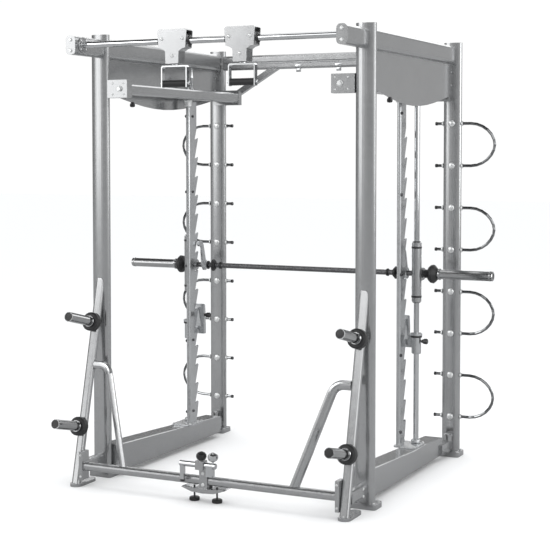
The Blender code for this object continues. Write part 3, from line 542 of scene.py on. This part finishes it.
# ---------------------------------------------------------------- band loops
LOOP_ENDS, LOOP_END_IN = 8, 0.020           # rods through each rear upright; the end ones, in from the box
ROD_HOLE = 0.0082
LOOP_BOSS = [(0, 0.0165), (0.001, 0.0175), (0.003, 0.0160), (0.0050, 0.0100), (0.0056, 0.0)]
LOOP_COLLAR = [(0, ROD_HOLE), (0, 0.0130), (0.002, 0.0140), (0.006, 0.0135), (0.009, 0.0110),
               (0.009, ROD_HOLE)]
LOOP_TIP = [(0, ROD_HOLE), (0, 0.0092), (0.0010, 0.0097), (0.010, 0.0097), (0.012, 0.0092),
            (0.012, ROD_HOLE)]

for side, s in SIDES:
    post = mid("upright_rear_" + side)
    post_lo, post_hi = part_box("upright_rear_" + side)
    rack_lo, rack_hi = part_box("loop_rack_" + side)
    top_z, low_z = rack_hi.z - LOOP_END_IN, rack_lo.z + LOOP_END_IN
    inner = inner_outer("loop_rack_" + side, s)[0]
    bosses, collars, tips = bmesh.new(), bmesh.new(), bmesh.new()
    for k in range(LOOP_ENDS):
        z = top_z + (low_z - top_z) * k / (LOOP_ENDS - 1)
        turned(bosses, (post.x, post_lo.y - PROUD, z), FRONTWARD, LOOP_BOSS, 24)
        for face, way in ((post_lo.x - PROUD, -1), (post_hi.x + PROUD, 1)):
            turned_ring(collars, (face, post.y, z), (way, 0, 0), LOOP_COLLAR, 20)
        turned_ring(tips, (inner + s * 0.0005, post.y, z), (s, 0, 0), LOOP_TIP, 16)
    finish_piece("loop_bosses_" + side, bosses, ZINC, "frame")
    finish_piece("loop_collars_" + side, collars, ZINC, "frame")
    finish_piece("loop_tips_" + side, tips, PLASTIC, "frame")

# ---------------------------------------------------------------- head of the frame
PULL_BORE = 0.0153
ARM_FLANGE = [(0, PULL_BORE), (0, 0.0390), (0.004, 0.0390), (0.006, 0.0370), (0.007, 0.0220),
              (0.010, 0.0200), (0.010, PULL_BORE)]
FLANGE_SCREWS, FLANGE_CIRCLE = 4, 0.0300
SPIRE_X, SPIRE_Z = 0.648, 2.0027            # pointed finial of the rod's clamp
SPIRE = [(0, 0.0115), (0.010, 0.0115), (0.014, 0.0075), (0.060, 0.0075), (0.066, 0.0100), (0.072, 0.0100),
         (0.080, 0.0070), (0.122, 0.0018), (0.126, 0.0)]
KNOB_X, KNOB_Y, KNOB_Z = 0.7240, 0.300, 1.9225
PANEL_KNOB = [(0, 0.0085), (0.006, 0.0085), (0.008, 0.0130), (0.020, 0.0140), (0.026, 0.0110), (0.028, 0.0)]
SEAM_OFF, PANEL_SCREW_Z = 0.0012, (2.020, 2.090)
LUG_X, LUG_HOOK_Z, LUG_PLATE_Z = (-0.195, 0.055), (2.1180, 2.1376), (2.1400, 2.1600)

for side, s in SIDES:
    out = Vector((s, 0, 0))
    arm_lo, arm_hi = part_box("pullup_arm_" + side)
    arm, bar = mid("pullup_arm_" + side), mid("pullup_bar")
    bolts, flange = bmesh.new(), bmesh.new()
    for dz in (-0.026, 0.026):
        bolt(bolts, (arm.x, arm_lo.y - PROUD, arm.z + dz), FRONTWARD, 0.0085, dz)
    face = inner_outer("pullup_arm_" + side, s)[0]
    turned_ring(flange, (face - s * PROUD, bar.y, bar.z), -out, ARM_FLANGE, 36)
    for k in range(FLANGE_SCREWS):
        turn = math.pi / 4 + k * math.pi / 2
        button(bolts, (face - s * 0.0062, bar.y + FLANGE_CIRCLE * math.cos(turn),
                       bar.z + FLANGE_CIRCLE * math.sin(turn)), -out, 0.0052)
    finish_piece("arm_flange_" + side, flange, PAINT, "frame")

    # guide beam: a bolt and four screws on its front plate; a painted slot shade and two dark screws on its
    # rear plate
    guide_lo, guide_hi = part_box("guide_beam_" + side)
    guide_z, inner = mid("guide_beam_" + side).z, inner_outer("guide_beam_" + side, s)[0]
    bolt(bolts, (inner + s * 0.0440, guide_lo.y - PROUD, guide_z), FRONTWARD, 0.0145, 0.2)
    for dx in (0.020, 0.085):
        for dz in (-0.028, 0.028):
            button(bolts, (inner + s * dx, guide_lo.y - PROUD, guide_z + dz), FRONTWARD, 0.0050)
    finish_piece("head_bolts_" + side, bolts, ZINC, "frame")
    slot_shade_and_screws, slot_x = bmesh.new(), inner + s * 0.040
    # thin dark plate on the rear face: painted shade standing for the slot's opening
    slab(slot_shade_and_screws, (slot_x - 0.030, guide_hi.y - 0.0590, guide_z - 0.006),
         (slot_x + 0.030, guide_hi.y - 0.0575, guide_z + 0.006), 0.0004)
    for dx in (0.018, 0.120):
        bolt(slot_shade_and_screws, (inner + s * dx, guide_hi.y - 0.0578, guide_z + 0.026), FRONTWARD, 0.0060, 0.1)
    finish_piece("rear_slot_shade_and_screws_" + side, slot_shade_and_screws, BOLT, "frame")

    # guide rod: the finial of its clamp and a ring above the beam
    spire, knob = bmesh.new(), bmesh.new()
    rod = mid("guide_rod_" + side)
    turned(spire, (s * SPIRE_X, rod.y - 0.015, SPIRE_Z), UP, SPIRE, 20)
    turned_ring(spire, (rod.x, rod.y, SPIRE_Z + PROUD), UP, eased(ROD_BORE, 0.0215, 0.0225, 0.002, 0.011), 28)
    finish_piece("rod_head_" + side, spire, CHROME, "frame")

    # side panel: knob below, weld seams along its top, screws through its ends
    turned(knob, (s * KNOB_X, PLANE_Y + KNOB_Y, KNOB_Z), DOWN, PANEL_KNOB, 20)
    finish_piece("panel_knob_" + side, knob, PLASTIC, "frame")
    seam = bmesh.new()
    panel_lo, panel_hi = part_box("side_panel_" + side)
    for x in (panel_lo.x - SEAM_OFF, panel_hi.x + SEAM_OFF):
        bead(seam, dense([(x, y, panel_hi.z - SEAM_OFF) for y in (panel_lo.y + 0.004, panel_hi.y - 0.004)],
                         0.006), 0.0022)
    for z in PANEL_SCREW_Z:
        for y in (panel_lo.y + 0.020, panel_hi.y - 0.020):
            for way in (1, -1):
                button(seam, (mid("side_panel_" + side).x + way * 0.0022, y, z), (way, 0, 0), 0.0055)
    finish_piece("panel_seam_" + side, seam, WELD, "frame")

lugs = bmesh.new()
beam_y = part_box("rear_crossbeam")[0].y
for x in LUG_X:
    slab(lugs, (x - 0.014, beam_y + 0.004, LUG_HOOK_Z[0]),
         (x + 0.014, beam_y + 0.012, LUG_HOOK_Z[1]), 0.0020)
    slab(lugs, (x - 0.020, beam_y - 0.0022, LUG_PLATE_Z[0]),
         (x + 0.020, beam_y + 0.004, LUG_PLATE_Z[1]), 0.0015)
    button(lugs, (x, beam_y - 0.0024, sum(LUG_PLATE_Z) / 2), FRONTWARD, 0.0060)
finish_piece("crossbeam_lugs", lugs, STEEL, "frame")

# ---------------------------------------------------------------- bar, carriages and safety stops
BAR_BORE = 0.0143
BAR_COLLAR = [(-0.012, BAR_BORE), (-0.012, 0.021), (-0.010, 0.023), (-0.004, 0.024), (-0.003, 0.030),
              (0.000, 0.033), (0.004, 0.033), (0.006, 0.030), (0.006, BAR_BORE)]
SLEEVE_PLUG = [(0.0, 0.0138), (0.0030, 0.0138), (0.0045, 0.0120), (0.0050, 0.0)]
WIPER = [(0, ROD_BORE), (0, 0.0205), (0.0012, 0.0205), (0.0024, 0.0180), (0.0024, ROD_BORE)]
STOP_RING_Z, STOP_SCREW_Z, STOP_SCREW_X = 0.6968, (0.655, 0.690), 0.610
STOP_RING = [(0, 0.0253), (0, 0.0285), (0.002, 0.0300), (0.0085, 0.0300), (0.0098, 0.0285), (0.0098, 0.0253)]

rings = bmesh.new()
for side, s in SIDES:
    turned_ring(rings, (s * COLLAR_X, BAR_MID.y, BAR_MID.z), (s, 0, 0), BAR_COLLAR, 32)
    turned_ring(rings, (s * INNER_RING_X, BAR_MID.y, BAR_MID.z), (s, 0, 0),
                eased(BAR_BORE, 0.0180, 0.0200, 0.002, 0.012, start=-0.006), 28)
finish_piece("bar_rings", rings, RUBBER, "bar")

for side, s in SIDES:
    near, end = inner_outer("bar_sleeve_" + side, s)
    plug, lip, clip = bmesh.new(), bmesh.new(), bmesh.new()
    turned(plug, (end - s * 0.0055, BAR_MID.y, BAR_MID.z), (s, 0, 0), SLEEVE_PLUG, 28)
    finish_piece("sleeve_plug_" + side, plug, PLASTIC, "sleeve_" + side)
    turned_ring(lip, (near + s * 0.006, BAR_MID.y, BAR_MID.z), (s, 0, 0),
                eased(0.0252, 0.0285, 0.0298, 0.002, 0.010), 32)
    turned_ring(lip, (end - s * 0.018, BAR_MID.y, BAR_MID.z), (s, 0, 0),
                eased(0.0251, 0.0256, 0.0262, 0.001, 0.005), 32)
    finish_piece("sleeve_lip_" + side, lip, HORNMETAL, "sleeve_" + side)

    # retaining ring of the hook's hub
    hub = inner_outer("bar_hook_" + side, s)[0]
    turned_ring(clip, (hub - s * PROUD, BAR_MID.y, BAR_MID.z), (-s, 0, 0),
                eased(0.0144, 0.0225, 0.0235, 0.001, 0.006), 28)
    finish_piece("hook_clip_" + side, clip, BOLT, "bar")

    # carriage: wipers at both ends, bands near them, clamp screws on the bar's housing
    car_lo, car_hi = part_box("carriage_" + side)
    rod = mid("guide_rod_" + side)
    wipers, screws = bmesh.new(), bmesh.new()
    for z, way in ((car_hi.z + PROUD, UP), (car_lo.z - PROUD, DOWN)):
        turned_ring(wipers, (rod.x, rod.y, z), way, WIPER, 28)
    for z in (car_lo.z + 0.030, car_hi.z - 0.030):
        turned_ring(wipers, (rod.x, rod.y, z - 0.005), UP, eased(0.0252, 0.0262, 0.0268, 0.001, 0.010), 32)
    finish_piece("carriage_wipers_" + side, wipers, RUBBER, "carriage")
    for z in (car_lo.z + 0.075, car_hi.z - 0.075):
        for way in (1, -1):
            button(screws, (rod.x + way * 0.0246, rod.y, z), (way, 0, 0), 0.0055)
    finish_piece("carriage_screws_" + side, screws, ZINC, "carriage")

    # safety stop: rubber ring near its top, two screws behind its arm
    stop_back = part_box("stop_" + side)[1].y
    pad, screw = bmesh.new(), bmesh.new()
    turned_ring(pad, (rod.x, rod.y, STOP_RING_Z), UP, STOP_RING, 28)
    finish_piece("stop_ring_" + side, pad, RUBBER, "stop_" + side)
    for z in STOP_SCREW_Z:
        button(screw, (s * STOP_SCREW_X, stop_back + 0.0003, z), BACK, 0.0060)
    finish_piece("stop_screws_" + side, screw, ZINC, "stop_" + side)

# ---------------------------------------------------------------- pull-up trolleys
TROLLEY_SCREWS = ((-0.056, 2.192), (0.056, 2.192), (0.0, 2.112))        # X from the trolley's middle, Z
TROLLEY_HALF, GRIP_HALF = 0.0793, 0.0702    # outer face of a bush's seat, outer face of a stirrup's side
TROLLEY_BUSH = [(0, 0.0154), (0, 0.0225), (0.001, 0.0235), (0.004, 0.0235), (0.006, 0.0205), (0.006, 0.0154)]
STIRRUP_CAP = [(0, 0.0085), (0.002, 0.0090), (0.006, 0.0080), (0.008, 0.0050), (0.0085, 0.0)]
SWIVEL_Z = 2.0683
SWIVEL_RING = [(0, 0.0122), (0, 0.0200), (0.001, 0.0210), (0.0050, 0.0210), (0.0062, 0.0195),
               (0.0062, 0.0122)]
GRIP_RIBS, RIB_START, RIB_PITCH = 11, -0.055, 0.011
GRIP_RIB = [(-0.003, 0.0159), (-0.002, 0.0170), (0.002, 0.0170), (0.003, 0.0159)]

for side, s in SIDES:
    lo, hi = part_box("trolley_" + side)
    x, bar, grip = (lo.x + hi.x) / 2, mid("pullup_bar"), mid("grip_" + side)
    dots, bushes, caps, ribs = bmesh.new(), bmesh.new(), bmesh.new(), bmesh.new()
    for dx, z in TROLLEY_SCREWS:
        button(dots, (x + dx, lo.y - PROUD, z), FRONTWARD, 0.0085)
        button(dots, (x + dx, hi.y + PROUD, z), BACK, 0.0085)
    finish_piece("trolley_screws_" + side, dots, ZINC, "trolley_" + side)
    for way in (1, -1):
        turned_ring(bushes, (x + way * TROLLEY_HALF, bar.y, bar.z), (way, 0, 0), TROLLEY_BUSH, 28)
    finish_piece("trolley_bushes_" + side, bushes, PLASTIC, "trolley_" + side)
    for way in (1, -1):
        turned(caps, (grip.x + way * GRIP_HALF, grip.y, grip.z), (way, 0, 0), STIRRUP_CAP, 20)
    turned_ring(caps, (grip.x, grip.y, SWIVEL_Z), UP, SWIVEL_RING, 28)
    finish_piece("stirrup_caps_" + side, caps, CHROME, "stirrup_" + side)
    for k in range(GRIP_RIBS):
        turned_ring(ribs, (grip.x + RIB_START + RIB_PITCH * k, grip.y, grip.z), (1, 0, 0), GRIP_RIB, 24)
    finish_piece("grip_ribs_" + side, ribs, RUBBER, "grip_" + side)

# ---------------------------------------------------------------- bench clamp
FOOT_NUT_Z, CLAMP_BOLT_Z, CLAMP_BOLT_Y, WASHER_Z = 0.0765, (0.085, 0.140), -0.2525, 0.2062
ARM_PAD = [(0, 0.0110), (0.002, 0.0120), (0.008, 0.0115), (0.010, 0.0090), (0.0105, 0.0)]
KNOB_WASHER = eased(0.0050, 0.01264, 0.0130, 0.00036, 0.0012)

nuts, arm_pad, washer = bmesh.new(), bmesh.new(), bmesh.new()
for side, s in SIDES:
    foot = mid("clamp_foot_" + side)
    hexagon(nuts, (foot.x, foot.y, FOOT_NUT_Z), UP, 0.0180, 0.0075, 0.4)
for z in CLAMP_BOLT_Z:
    bolt(nuts, (0.001, PLANE_Y + CLAMP_BOLT_Y, z), FRONTWARD, 0.0080, z)
finish_piece("clamp_nuts", nuts, ZINC, "frame")
arm_lo, arm_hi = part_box("clamp_arm")
turned(arm_pad, (arm_lo.x + 0.014, (arm_lo.y + arm_hi.y) / 2, arm_lo.z - 0.0003), DOWN, ARM_PAD, 20)
finish_piece("clamp_arm_pad", arm_pad, RUBBER, "clamp_arm")
knob = mid("clamp_knob")
turned_ring(washer, (knob.x, knob.y, WASHER_Z), UP, KNOB_WASHER, 24)
finish_piece("clamp_washer", washer, ZINC, "clamp_knob")
